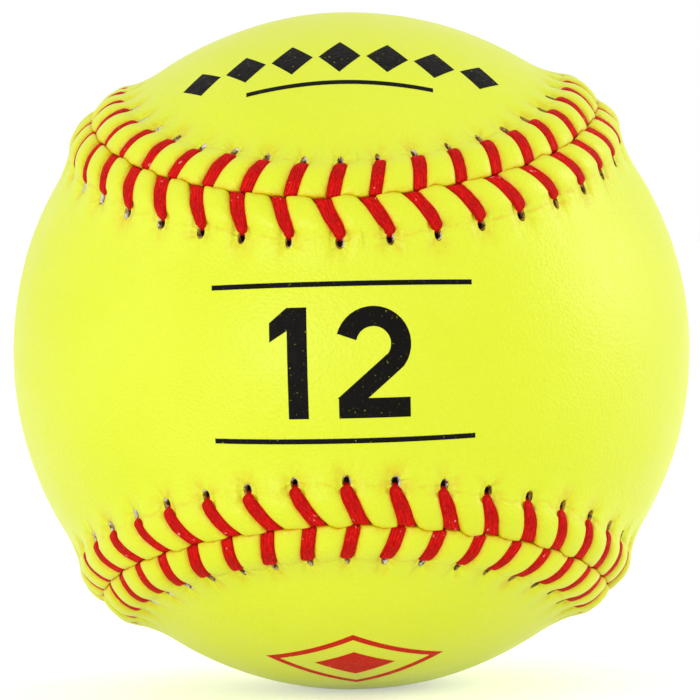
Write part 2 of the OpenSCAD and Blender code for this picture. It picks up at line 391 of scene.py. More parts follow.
def smooth_field(build, stations, per_stitch, step, turned):
    """The part of a panel away from the seam, strung across between its two edges."""
    total = STITCHES * per_stitch
    quarter = total // 4
    points = np.concatenate(build.points)
    lines = []
    for k in range(-quarter, quarter + 1):
        a, b = stations[k % total], stations[(total // 2 - k) % total]
        if a == b:
            lines.append([a])
            continue
        pa, pb = points[a], points[b]
        w = 2 * math.asin(min(1, np.linalg.norm(unit(pa) - unit(pb)) / 2))
        n = max(1, math.ceil(BALL_R * w / step))
        f = (np.arange(1, n) / n)[:, None]
        inner = (pa * np.sin(w * (1 - f)) + pb * np.sin(w * f)) / math.sin(w)
        lines.append([a, *build.add(inner), b] if n > 1 else [a, b])
    for a, b in zip(lines, lines[1:]):
        build.triangles(zip_lines(a, b), turned)


def make_cover(name, side):
    """One leather panel: puffed edge, holes cut through, smooth waist and lobes, and underside."""
    build = Builder()
    # The back panel's stitches are taken in order from a quarter of the seam on
    start, first = (0, 0) if side == FRONT else (SEAM_L / 4, STITCHES // 4)
    order = np.roll(np.arange(STITCHES), -first)
    s, d, h, spot, crease_shade = (x[order] for x in outer_grid(side))
    s = s - start
    top = build.add(place(s + start, side * d, h)).reshape(s.shape)
    top = top.reshape(STITCHES * COLUMNS, len(ROWS))
    ahead = np.roll(top, -1, axis=0)
    keep = np.ones((STITCHES, COLUMNS, len(ROWS) - 1), bool)
    (j0, j1), (r0, r1) = HOLE_COLUMNS, HOLE_ROWS
    keep[:, j0:j1, r0:r1] = False
    keep = keep.reshape(STITCHES * COLUMNS, -1)
    build.quads(top[:, :-1][keep], ahead[:, :-1][keep], ahead[:, 1:][keep], top[:, 1:][keep])

    # Underside rows, three points a stitch
    uneven = UNEVEN[side]
    under = []
    for d_row in UNDER_ROWS:
        share = hole_share(d_row)
        lead = (LEADS[side] + uneven["lead"][order]) * (1 - share) + uneven["along"][order] * share
        centre = np.arange(STITCHES) * PITCH + lead
        half = np.full(STITCHES, UNDER_HALF_W if d_row > 4.5 else curve(d_row, STRAND_HALF_WIDTHS[side]))
        shift = uneven["across"][order] * near_hole(d_row)
        middle = (centre + np.append(centre[1:], centre[0] + SEAM_L)) / 2
        open_d = d_row + edge_gap(d_row)
        low = curve(d_row, GROOVE_HEIGHTS) - LEATHER_T
        high = curve(d_row, PUFF_HEIGHTS) - LEATHER_T
        rows = [
            place(start + centre - half, side * (open_d + shift), low),
            place(start + centre + half, side * (open_d + shift), low),
            place(start + middle, side * (d_row + 0 * middle), high),
        ]
        under.append(build.add(np.stack(rows, 1)).reshape(STITCHES, 3))
    stations = start + np.arange(STITCHES) * PITCH
    foot = build.add(place(stations, side * UNDER_FOOT, -LEATHER_T))
    rows = [u.reshape(-1) for u in under]
    for a, b, cut in ((0, 1, False), (1, 2, False), (2, 3, True)):
        lower, upper = rows[a], rows[b]
        keep = np.ones(STITCHES * 3, bool)
        if cut:
            keep[::3] = False
        build.quads(lower[keep], upper[keep], np.roll(upper, -1)[keep], np.roll(lower, -1)[keep])
    top_rows = top.reshape(STITCHES, COLUMNS, len(ROWS))
    for k in range(STITCHES):
        n = (k + 1) % STITCHES
        u, v = under[3][k], under[3][n]
        build.triangles([
            (u[0], foot[k], u[1]), (u[1], foot[k], u[2]), (u[2], foot[k], foot[n]), (u[2], foot[n], v[0]),
        ])
        # The panel's cut edge
        edge = [*top_rows[k, :, 0], top_rows[n, 0, 0]]
        build.triangles(zip_lines([*under[0][k], under[0][n][0]], edge), True)
    smooth_field(build, foot, 1, UNDER_STEP, True)

    # The outer leather beyond the ridge
    smooth_s = start + np.arange(STITCHES * SMOOTH_PER_STITCH) * PITCH / SMOOTH_PER_STITCH
    shore = build.add(place(smooth_s, side * SMOOTH_D, 0))
    for k in range(STITCHES):
        n = (k + 1) % STITCHES
        last = [*top_rows[k, :, -1], top_rows[n, 0, -1]]
        first = k * SMOOTH_PER_STITCH
        line = [shore[(first + i) % len(shore)] for i in range(SMOOTH_PER_STITCH + 1)]
        build.triangles(zip_lines(last, line), True)
    smooth_field(build, shore, SMOOTH_PER_STITCH, SMOOTH_STEP, False)

    # Each hole's wall: a rounded lip, the cut leather and the joint to the underside
    rim = hole_rim_cells()
    rim_j, rim_r = np.array(rim).T
    rim_s, rim_d, rim_h = (g[:, rim_j, rim_r] for g in (s, d, h))
    mid_s, mid_d = rim_s.mean(1, keepdims=True), rim_d.mean(1, keepdims=True)
    loops = [top_rows[:, rim_j, rim_r]]
    rim_at = place(start + rim_s, side * rim_d, rim_h)
    rim_out = unit(rim_at - rim_at.mean(1, keepdims=True))
    for shrink, back, sink in WALL_LOOPS:
        ring = place(
            start + mid_s + (rim_s - mid_s) * shrink,
            side * (mid_d - back + (rim_d - mid_d) * shrink),
            rim_h - sink,
        )
        loops.append(build.add(ring).reshape(STITCHES, -1))
    for outer, inner in zip(loops, loops[1:]):
        build.quads(outer, np.roll(outer, -1, axis=1), np.roll(inner, -1, axis=1), inner)
    across, along = j1 - j0, r1 - r0
    corners = [0, across, across + along, 2 * across + along, len(rim)]
    for k in range(STITCHES):
        below = [under[2][k][0], under[2][k][1], under[3][k][1], under[3][k][0]]
        for e in range(4):
            part = [loops[-1][k][i % len(rim)] for i in range(corners[e], corners[e + 1] + 1)]
            build.triangles(zip_lines(part, [below[e], below[(e + 1) % 4]]), True)

    points = swell(np.concatenate(build.points))
    faces = np.concatenate(build.faces)
    if side == BACK:
        faces = faces[:, ::-1]
    piece, used = make_mesh(name, points, faces, COVER_SHARP_A)
    cut = np.zeros(len(points), np.float32)
    for share, loop in zip(CUT_AND_SHADE_SHARES, loops):
        cut[loop.reshape(-1)] = share
    # The underside takes the painted near-black shade of the holes' depths
    cut[np.concatenate([foot, *rows[1:]])] = 1.0
    # Painted light and shade on the hole walls: each wall is paler on its +x and upper side, as if lit, and
    # browner on the other, as if shaded; holes towards the ball's -x side are paler and towards its +x side
    # browner
    aside = rim_at[..., 0] / BALL_R
    pale = rim_out[..., 0] + 0.35 * rim_out[..., 2] - 0.2
    pale += 1.4 * np.clip((-aside - 0.35) / 0.3, 0, 1) - 2.0 * np.clip((aside - 0.15) / 0.4, 0, 1)
    painted_lit_side = np.zeros(len(points))
    for loop in loops:
        painted_lit_side[loop.reshape(-1)] = pale.reshape(-1)
    # Where each point lies from its nearest hole, far off on the smooth leather
    spots = np.tile(np.float32([9, 9, 0]), (len(points), 1))
    spots[top.reshape(-1)] = spot.reshape(-1, 3)
    reach = np.exp(-((np.hypot(spots[:, 0], spots[:, 1] * 0.8) / 2.0) ** 3))
    # Painted shade beside the strands and the seam, carried to the material with the other marks
    crease_shade_points = np.zeros(len(points))
    crease_shade_points[top.reshape(-1)] = crease_shade.reshape(-1)
    for key, values in (
        ("cut_flesh_and_hole_shade", cut), ("from_hole", spots), ("puckered", reach), ("crease_shade", crease_shade_points),
        ("painted_lit_side", painted_lit_side),
    ):
        give_points(piece.data, key, values[used])
    return piece


# The path of a strand's middle, as distance from the seam and height: out of the hole, over
# the ridge, down between the panels and under the other one to its next hole
BURIED_H = -0.95
BURIED_BACK = 1.5
STRAND_RISE = STRAND_HALF_T + 0.01
STRAND_PATH = [
    (HOLE_D - BURIED_BACK, BURIED_H), (5.15, -0.90), (5.42, -0.50), (5.40, 0.05), (5.28, 0.62),
    (5.05, 1.02), (4.7, 0.91 + STRAND_RISE), (4.2, 1.08 + STRAND_RISE), (3.6, 1.25 + STRAND_RISE),
    (2.9, 1.37 + STRAND_RISE), (2.2, 1.37 + STRAND_RISE), (1.5, 1.28 + STRAND_RISE),
    (0.85, 1.13 + STRAND_RISE), (0.40, 1.27), (0.225, 0.90), (0.21, 0.30), (0.08, -0.3),
    (-0.2, -0.78), (-1.0, BURIED_H), (-3.0, BURIED_H), (-(HOLE_D - BURIED_BACK), BURIED_H),
]
# Places on this path, counted in its knots
PATH_IN_HOLE = 5
PATH_ON_RIDGE = 9
PATH_AT_DIVE = 14
NARROW_FROM, NARROW_TO = 13.2, 16
# Rings of points before, on and after the part that shows
RINGS_BEFORE = [0, 1.2, 2.4, 3.3]
VISIBLE_RINGS = 21
RINGS_AFTER = [14.8, 15.8, 16.8, 18, 20]
RING_POINTS = 20
END_LAG = {FRONT: 0.0, BACK: 0.06}
DIVE_SHIFT = {FRONT: 0.36, BACK: 0.0}
THREAD_IN_HOLE_W = 0.48
THREAD_AT_DIVE_W = 0.42
THREAD_AT_DIVE_T = 0.235
THREAD_HIDDEN_T = 0.27
STRAND_GIRTH = 4.2
# The plies: how many ridges across, their slant along the strand and their place
PLY_DEPTH = 0.045
PLY_RIDGES, PLY_SLANT, PLY_START = 1.55, 0.11, 0.2


def stitch_template(side):
    """One strand with its run under the leather, laid out flat: along, across and height."""
    path = np.array(STRAND_PATH)
    knots = np.arange(len(path), dtype=float)
    visible = np.linspace(PATH_IN_HOLE - 1, PATH_AT_DIVE, VISIBLE_RINGS)
    rings = np.concatenate([RINGS_BEFORE, visible, RINGS_AFTER])
    d_line, h_line = np.stack([knots, path[:, 0]], 1), np.stack([knots, path[:, 1]], 1)
    d, h = curve(rings, d_line), curve(rings, h_line)
    step = 0.01
    run_d = curve(rings + step, d_line) - curve(rings - step, d_line)
    run_h = curve(rings + step, h_line) - curve(rings - step, h_line)
    run_d[[0, -1]], run_h[[0, -1]] = (1, -1), (0, 0)
    size = np.hypot(run_d, run_h)
    up_d, up_h = run_h / size, -run_d / size
    # One where the strand shows, and nought where it's hidden
    shown = np.clip((rings - 3.4) / 1.2, 0, 1) * np.clip((14.6 - rings) / 1.4, 0, 1)
    wide = curve(np.clip(d, 0, FOLD_D), STRAND_HALF_WIDTHS[side])
    ends = np.where(rings < PATH_ON_RIDGE, THREAD_IN_HOLE_W, THREAD_AT_DIVE_W)
    # A run ends as wide as the next strand begins, so that the two weld into one thread
    ends[-1] = THREAD_IN_HOLE_W
    half_w = ends + (wide - ends) * shown ** 0.7
    half_t = THREAD_HIDDEN_T + (STRAND_HALF_T - THREAD_HIDDEN_T) * shown
    half_t = np.where((rings > NARROW_FROM) & (rings < NARROW_TO), THREAD_AT_DIVE_T, half_t)

    past = np.clip((rings - PATH_AT_DIVE) / (len(path) - 1 - PATH_AT_DIVE), 0, 1)
    to_hole = np.where(rings < PATH_AT_DIVE, hole_share(d), 0)
    # The buried start lies on the hole's own mark, where the run before it ends
    to_hole[rings < PATH_IN_HOLE - 2] = 1
    centre = LEADS[side] * (1 - to_hole) * (1 - past) + PITCH * past
    centre -= END_LAG[side] * to_hole * shown
    centre += DIVE_SHIFT[side] * np.clip((rings - 12.9) / 1.2, 0, 1) * (1 - past)

    angle = 2 * np.pi * (np.arange(RING_POINTS) + 0.5) / RING_POINTS
    cos, sin = np.cos(angle)[None, :], np.sin(angle)[None, :]
    lateral = half_w[:, None] * np.sign(cos) * np.abs(cos) ** 0.8
    thick = half_t[:, None] * np.sign(sin) * np.abs(sin) ** 0.75
    reach = np.concatenate([[0], np.cumsum(np.hypot(np.diff(d), np.diff(h)))])
    ply = PLY_RIDGES * lateral / half_w[:, None] * 0.5 + PLY_SLANT * reach[:, None] + PLY_START
    ply = np.cos(2 * np.pi * ply * 2)
    thick += (ply - 0.4) * PLY_DEPTH * shown[:, None] * (np.abs(sin) ** 0.5) * np.sign(sin)
    across = d[:, None] + up_d[:, None] * thick
    height = h[:, None] + up_h[:, None] * thick
    points = np.stack([centre[:, None] + lateral, across, height], -1).reshape(-1, 3)

    first = np.arange(len(rings) - 1)[:, None] * RING_POINTS
    a = first + np.arange(RING_POINTS)[None, :]
    b = first + (np.arange(RING_POINTS)[None, :] + 1) % RING_POINTS
    faces = np.stack([a, b, b + RING_POINTS, a + RING_POINTS], -1).reshape(-1, 4)
    name = "stitch_front" if side == FRONT else "stitch_back"
    piece, _ = make_mesh(name, points, faces)
    mesh = piece.data
    girth = np.arange(RING_POINTS + 1) / RING_POINTS * STRAND_GIRTH
    layer = mesh.uv_layers.new(name="strand")
    corner_ring = np.repeat(np.arange(len(rings) - 1), RING_POINTS)
    corner_side = np.tile(np.arange(RING_POINTS), len(rings) - 1)
    u = np.stack([reach[corner_ring + n] for n in (0, 0, 1, 1)], -1)
    v = np.stack([girth[corner_side + n] for n in (0, 1, 1, 0)], -1)
    layer.data.foreach_set("uv", np.stack([u, v], -1).reshape(-1).astype(np.float32))
    weights = {"at_hole": to_hole, "at_lead": (1 - to_hole) * (1 - past), "at_next": past, "free": shown}
    for key, values in weights.items():
        give_points(mesh, key, np.repeat(values, RING_POINTS))
    give_points(mesh, "lateral", lateral.reshape(-1) * MM)
    return piece


# The prints, in millimetres right and up from their own middles on the ball
INK_H = 0.02
INK_STEP = 0.8
NUMBER_HALF_H = 7.5
NUMBER_STROKE = 2.7


def smooth_path(points, step=INK_STEP):
    """A line through the points with no stretch longer than the step."""
    points = np.asarray(points, float)
    out = [points[:1]]
    for a, b in zip(points, points[1:]):
        n = max(1, math.ceil(np.linalg.norm(b - a) / step))
        out.append(a + (b - a) * (np.arange(1, n + 1) / n)[:, None])
    return np.concatenate(out)


def stroke(points, width, closed=False, flat_end=False):
    """A band of even width along a line, as a grid of places, its end square or cut level."""
    points = np.asarray(points, float)
    if closed:
        ahead, behind = np.roll(points, -1, axis=0) - points, points - np.roll(points, 1, axis=0)
    else:
        ahead = np.diff(points, axis=0, append=2 * points[-1:] - points[-2:-1])
        behind = np.diff(points, axis=0, prepend=2 * points[:1] - points[1:2])
    ahead, behind = unit(ahead), unit(behind)
    mitre = unit(ahead + behind)
    if flat_end:
        mitre[-1] = (0, -1)
    normal = np.stack([-mitre[:, 1], mitre[:, 0]], -1)
    half = width / 2 / np.maximum(0.5, (mitre * behind).sum(-1))
    across = np.linspace(-1, 1, max(2, math.ceil(width / INK_STEP) + 1))
    return points[:, None] + normal[:, None] * (across[None, :] * half[:, None])[..., None], closed


def four_sided(a, b, c, d):
    """A filled shape with four corners in turn, as a grid of places."""
    a, b, c, d = np.array([a, b, c, d], float)
    longest = max(np.linalg.norm(q - p) for p, q in ((a, b), (b, c), (c, d), (d, a)))
    n = max(2, math.ceil(longest / INK_STEP)) + 1
    x, y = np.meshgrid(np.linspace(0, 1, n), np.linspace(0, 1, n), indexing="ij")
    x, y = x[..., None], y[..., None]
    return a * (1 - x) * (1 - y) + b * x * (1 - y) + c * x * y + d * (1 - x) * y, False


def lozenge(centre, half_w, half_h):
    x, y = centre
    return four_sided((x, y + half_h), (x + half_w, y), (x, y - half_h), (x - half_w, y))


def make_print(name, shapes, lift, material):
    """Ink on the leather: each shape a thin closed sheet, on the middle line at an angle up."""
    build = Builder()
    middle = np.array([0, -math.cos(lift), math.sin(lift)])
    right, up = np.array([1.0, 0, 0]), np.array([0, math.sin(lift), math.cos(lift)])

    def on_ball(grid, h):
        far = np.linalg.norm(grid, axis=-1)
        ahead = (grid[..., :1] * right + grid[..., 1:] * up) / np.maximum(far, 1e-9)[..., None]
        a = (far / BALL_R)[..., None]
        return (middle * np.cos(a) + ahead * np.sin(a)) * (BALL_R + h)

    for grid, closed in shapes:
        top = build.add(on_ball(grid, INK_H)).reshape(grid.shape[:2])
        low = build.add(on_ball(grid, -INK_H)).reshape(grid.shape[:2])
        if closed:
            top, low = np.concatenate([top, top[:1]]), np.concatenate([low, low[:1]])
        turned = np.cross(grid[1, 0] - grid[0, 0], grid[0, 1] - grid[0, 0]) < 0
        if turned:
            top, low = top[:, ::-1], low[:, ::-1]
        build.quads(top[:-1, :-1], top[1:, :-1], top[1:, 1:], top[:-1, 1:])
        build.quads(low[:-1, :-1], low[:-1, 1:], low[1:, 1:], low[1:, :-1])
        build.quads(low[:-1, 0], low[1:, 0], top[1:, 0], top[:-1, 0])
        build.quads(low[1:, -1], low[:-1, -1], top[:-1, -1], top[1:, -1])
        if not closed:
            build.quads(low[0, 1:], low[0, :-1], top[0, :-1], top[0, 1:])
            build.quads(low[-1, :-1], low[-1, 1:], top[-1, 1:], top[-1, :-1])
    points, faces = swell(np.concatenate(build.points)), np.concatenate(build.faces)
    piece, _ = make_mesh(name, points, faces, PRINT_SHARP_A)
    piece.data.materials.append(material)
    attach(piece, "root")


def number_shapes():
    """A plain 12, for the ball's size in inches, between two ruled lines."""
    tall, thick = NUMBER_HALF_H, NUMBER_STROKE
    left, right = -7.4, -7.4 + thick
    bar = stroke(smooth_path([((left + right) / 2, tall), ((left + right) / 2, -tall)]), thick)
    flag = four_sided((left, tall), (left, tall - 3.1), (left - 2.4, tall - 4.6), (left - 2.4, tall - 2.0))
    turn = np.radians(np.linspace(165, -36, 22))
    bowl_r = 3.7
    bowl = np.stack([np.cos(turn), np.sin(turn)], -1) * bowl_r + (4.2, tall - thick / 2 - bowl_r)
    hook = stroke(smooth_path([*bowl, (1.3, -tall + thick)]), thick, flat_end=True)
    base = four_sided((-0.6, -tall + thick), (9.0, -tall + thick), (9.0, -tall), (-0.6, -tall))
    rules = [stroke(smooth_path([(-18.0, y), (18.0, y)]), 0.7) for y in (10.6, -10.6)]
    return [bar, flag, hook, base, *rules]


def lozenge_row():
    """Seven plain diamonds in a row over a ruled line."""
    row = [lozenge((6.6 * i, 0.0), 2.9, 4.2 - 0.35 * abs(i)) for i in range(-3, 4)]
    return row + [stroke(smooth_path([(-13.0, -6.6), (13.0, -6.6)]), 0.9)]


def diamond_shapes():
    """A plain diamond inside a diamond outline."""
    corners = [(11.5, 0), (0, 8.0), (-11.5, 0), (0, -8.0), (11.5, 0)]
    return [stroke(smooth_path(corners)[:-1], 1.1, True), lozenge((0, 0), 5.6, 3.9)]


class Nodes:
    """Short calls for building a node tree in the script."""

    def __init__(self, tree):
        self.tree = tree

    def node(self, kind, *inputs, **settings):
        node = self.tree.nodes.new(kind)
        for key, value in settings.items():
            setattr(node, key, value)
        for key, value in inputs:
            self.put(node.inputs[key], value)
        return node

    def put(self, socket, value):
        if isinstance(value, bpy.types.NodeSocket):
            self.tree.links.new(value, socket)
        else:
            socket.default_value = value

    def shader(self, kind, *inputs, **settings):
        return self.node("ShaderNode" + kind, *inputs, **settings).outputs[0]

    def math(self, operation, a, b=0.0):
        return self.shader("Math", (0, a), (1, b), operation=operation)

    def plus(self, a, b):
        return self.math("ADD", a, b)

    def times(self, a, b):
        return self.math("MULTIPLY", a, b)

    def vector(self, operation, a, b=None):
        node = self.node("ShaderNodeVectorMath", (0, a), operation=operation)
        if b is not None:
            self.put(node.inputs["Scale" if operation == "SCALE" else 1], b)
        return node.outputs[0]


class Tree(Nodes):
    """A Geometry Nodes tree with named inputs."""

    def __init__(self, name):
        super().__init__(bpy.data.node_groups.new(name, "GeometryNodeTree"))
        self.sockets = {}

    def socket(self, name, kind):
        self.sockets[name] = self.tree.interface.new_socket(name=name, in_out="INPUT", socket_type=kind)

    def geometry(self, kind, *inputs, **settings):
        return self.node("GeometryNode" + kind, *inputs, **settings).outputs[0]

    def read(self, name):
        return self.geometry("InputNamedAttribute", ("Name", name), data_type="FLOAT")


# Points of the seam line, the distance at which two lengths of thread weld, how fast the noise
# changes from strand to strand, and how ragged a strand's edges are
LINE_POINTS = 1441
WELD_M = 2e-5
OWN_NOISE = 41.0
RAGGED_SHARE = 0.45


def thread_tree():
    """Lays a stitch on every mark round the seam and bends it to the ball."""
    g = Tree("thread_round_the_seam")
    g.socket("Geometry", "NodeSocketGeometry")
    for name in ("Ball Radius", "Waist Angle", "Swing Angle", "Turn Angle", "Wave Scale", "Wave Size"):
        g.socket(name, "NodeSocketFloat")
    g.socket("Front Stitch", "NodeSocketObject")
    g.socket("Back Stitch", "NodeSocketObject")
    g.socket("Material", "NodeSocketMaterial")
    g.tree.interface.new_socket(name="Geometry", in_out="OUTPUT", socket_type="NodeSocketGeometry")
    given = g.node("NodeGroupInput").outputs

    # The seam line, from the rule that the panels are cut by
    line = g.geometry("CurvePrimitiveLine")
    line = g.geometry("ResampleCurve", ("Curve", line), ("Count", LINE_POINTS), mode="COUNT")
    t = g.times(g.geometry("InputIndex"), 2 * math.pi / (LINE_POINTS - 1))
    cos2 = g.math("COSINE", g.times(t, 2.0))
    cos6 = g.math("COSINE", g.times(t, 6.0))
    sin4 = g.math("SINE", g.times(t, 4.0))
    quarter = math.pi / 2
    wave = g.times(g.math("SUBTRACT", quarter, given["Waist Angle"]), cos2)
    drawn = g.times(given["Turn Angle"], g.math("SUBTRACT", cos6, cos2))
    tilt = g.plus(g.math("SUBTRACT", quarter, wave), drawn)
    turn = g.plus(t, g.times(given["Swing Angle"], sin4))
    seam_x = g.times(g.times(g.math("SINE", tilt), g.math("SINE", turn)), -1.0)
    seam_y = g.times(g.math("COSINE", tilt), -1.0)
    seam_z = g.times(g.math("SINE", tilt), g.math("COSINE", turn))
    seam = g.shader("CombineXYZ", (0, seam_x), (1, seam_y), (2, seam_z))
    seam = g.vector("SCALE", seam, given["Ball Radius"])
    line = g.geometry("SetPosition", ("Geometry", line), ("Position", seam))
    length = g.geometry("CurveLength", ("Curve", line))

    # A stitch on each mark, of the mark's own side
    joined = g.node("GeometryNodeJoinGeometry")
    for name, test in (("Front Stitch", "GREATER_THAN"), ("Back Stitch", "LESS_THAN")):
        shape = g.node("GeometryNodeObjectInfo", ("Object", given[name]), ("As Instance", True))
        shape = shape.outputs["Geometry"]
        mine = g.math(test, g.read("side"), 0.0)
        marks = ("Points", given["Geometry"])
        placed = g.geometry("InstanceOnPoints", marks, ("Selection", mine), ("Instance", shape))
        g.put(joined.inputs[0], placed)
    still = g.geometry("SetPosition", ("Geometry", joined.outputs[0]), ("Position", (0.0, 0.0, 0.0)))
    real = g.geometry("RealizeInstances", ("Geometry", still))

    # Each point's place along the seam, across it and above the leather
    flat = g.node("ShaderNodeSeparateXYZ", (0, g.geometry("InputPosition"))).outputs
    side = g.read("side")
    along = g.plus(g.read("station"), flat[0])
    for offset, share in (("along", "at_hole"), ("lead", "at_lead"), ("next_along", "at_next")):
        along = g.plus(along, g.times(g.read(offset), g.read(share)))
    # A strand is a little wider or narrower than the next, and its edges are never quite straight
    own = g.times(g.read("station"), OWN_NOISE)
    trail = g.shader("CombineXYZ", (0, own), (1, flat[1]))
    scale = ("Scale", given["Wave Scale"])
    wavy = g.shader("TexNoise", ("Vector", trail), scale, ("Detail", 1.0))
    ragged = g.shader("CombineXYZ", (0, own), (1, flat[1]), (2, g.read("lateral")))
    ragged = g.shader("TexNoise", ("Vector", ragged), scale, ("Detail", 2.0))
    wider = g.plus(g.read("widen"), g.times(g.math("SUBTRACT", ragged, 0.5), RAGGED_SHARE))
    shift = g.times(g.math("SUBTRACT", wavy, 0.5), given["Wave Size"])
    moved = g.times(g.plus(g.times(g.read("lateral"), wider), shift), g.read("free"))
    along = g.math("FLOORED_MODULO", g.plus(along, moved), length)
    across = g.plus(flat[1], g.times(g.read("across"), g.read("at_hole")))
    across = g.math("SUBTRACT", across, g.times(g.read("next_across"), g.read("at_next")))
    angle = g.math("DIVIDE", g.times(across, side), given["Ball Radius"])
    sample = g.node("GeometryNodeSampleCurve", ("Curves", line), ("Length", along), mode="LENGTH").outputs
    outward = g.vector("NORMALIZE", sample["Position"])
    sideways = g.vector("CROSS_PRODUCT", outward, g.vector("NORMALIZE", sample["Tangent"]))
    bent = g.vector(
        "ADD",
        g.vector("SCALE", outward, g.math("COSINE", angle)),
        g.vector("SCALE", sideways, g.math("SINE", angle)),
    )
    bent = g.vector("SCALE", g.vector("NORMALIZE", bent), g.plus(flat[2], given["Ball Radius"]))
    wound = g.geometry("SetPosition", ("Geometry", real), ("Position", bent))
    turned = g.math("LESS_THAN", side, 0.0)
    wound = g.geometry("FlipFaces", ("Mesh", wound), ("Selection", turned))
    welded = g.geometry("MergeByDistance", ("Geometry", wound), ("Distance", WELD_M))
    done = g.geometry("SetMaterial", ("Geometry", welded), ("Material", given["Material"]))
    g.node("NodeGroupOutput", (0, done))
    return g


def make_thread(name, first_side, tree, stitches, material):
    """One unbroken thread, stitching the two panels in turn."""
    k = np.arange(STITCHES)
    side = np.where(k % 2 == 0, first_side, -first_side)
    after = (k + 1) % STITCHES

    def pick(key, index, sides):
        return np.where(sides > 0, UNEVEN[FRONT][key][index], UNEVEN[BACK][key][index])

    marks = {"side": side.astype(float), "station": k * PITCH * MM, "widen": pick("widen", k, side)}
    marks["lead"] = pick("lead", k, side) * MM
    for key in ("along", "across"):
        marks[key] = pick(key, k, side) * MM
        marks["next_" + key] = pick(key, after, -side) * MM
    mesh = bpy.data.meshes.new(name)
    mesh.from_pydata([(0, 0, 0)] * STITCHES, [], [])
    for key, values in marks.items():
        give_points(mesh, key, values)
    maker = add_object(name + "_marks", mesh)
    modifier = maker.modifiers.new("thread", "NODES")
    modifier.node_group = tree.tree
    values = {
        "Ball Radius": BALL_R * MM,
        "Waist Angle": WAIST_W / BALL_R / 2,
        "Swing Angle": SWING_A,
        "Turn Angle": TURN_A,
        "Wave Scale": 520.0,
        "Wave Size": 0.30 * MM,
        "Front Stitch": stitches[FRONT],
        "Back Stitch": stitches[BACK],
        "Material": material,
    }
    for key, value in values.items():
        modifier[tree.sockets[key].identifier] = value
    bpy.context.view_layer.update()
    graph = bpy.context.evaluated_depsgraph_get()
    made = bpy.data.meshes.new_from_object(maker.evaluated_get(graph), depsgraph=graph)
    maker.modifiers.remove(modifier)
    bpy.data.objects.remove(maker)
    made.name = name
    made.shade_smooth()
    return add_object(name, made)


class Shader(Nodes):
    """Short calls for building a material."""

    def __init__(self, name):
        self.material = bpy.data.materials.new(name)
        self.material.use_nodes = True
        super().__init__(self.material.node_tree)
        self.tree.nodes.clear()
        self.surface = self.node("ShaderNodeBsdfPrincipled")
        self.node("ShaderNodeOutputMaterial", (0, self.surface.outputs[0]))

    def set(self, **values):
        for key, value in values.items():
            self.put(self.surface.inputs[key.replace("_", " ")], value)

    def attribute(self, name, output):
        return self.node("ShaderNodeAttribute", attribute_name=name).outputs[output]

    def here(self):
        return self.node("ShaderNodeTexCoord").outputs["Object"]

    def noise(self, where, scale, detail=3.0, roughness=0.55):
        sizes = ("Scale", scale), ("Detail", detail), ("Roughness", roughness)
        return self.shader("TexNoise", ("Vector", where), *sizes)

    def cells(self, where, scale, feature="F1"):
        return self.shader("TexVoronoi", ("Vector", where), ("Scale", scale), feature=feature)

    def ramp(self, value, low, high, out_low=0.0, out_high=1.0):
        span = ("From Min", low), ("From Max", high), ("To Min", out_low), ("To Max", out_high)
        return self.shader("MapRange", ("Value", value), *span)

    def mix(self, share, a, b):
        node = self.node("ShaderNodeMix", data_type="RGBA")
        self.put(node.inputs[0], share)
        self.put(node.inputs[6], (*a, 1.0) if isinstance(a, tuple) else a)
        self.put(node.inputs[7], (*b, 1.0) if isinstance(b, tuple) else b)
        return node.outputs[2]

    def bump(self, height, distance, strength, under=None):
        node = self.node("ShaderNodeBump", ("Height", height), ("Distance", distance), ("Strength", strength))
        if under is not None:
            self.put(node.inputs["Normal"], under)
        return node.outputs[0]


LEATHER_DEEP = (0.790, 0.890, 0.012)
LEATHER_PALE = (0.820, 0.910, 0.030)
LEATHER_PORE = (0.70, 0.80, 0.010)
# Painted shade: the leather's colours in its creases, beside the strands, at the seam and in the folds
LEATHER_SHADE = (0.79, 0.80, 0.004)
LEATHER_AMBER_SHADE = (0.80, 0.42, 0.004)


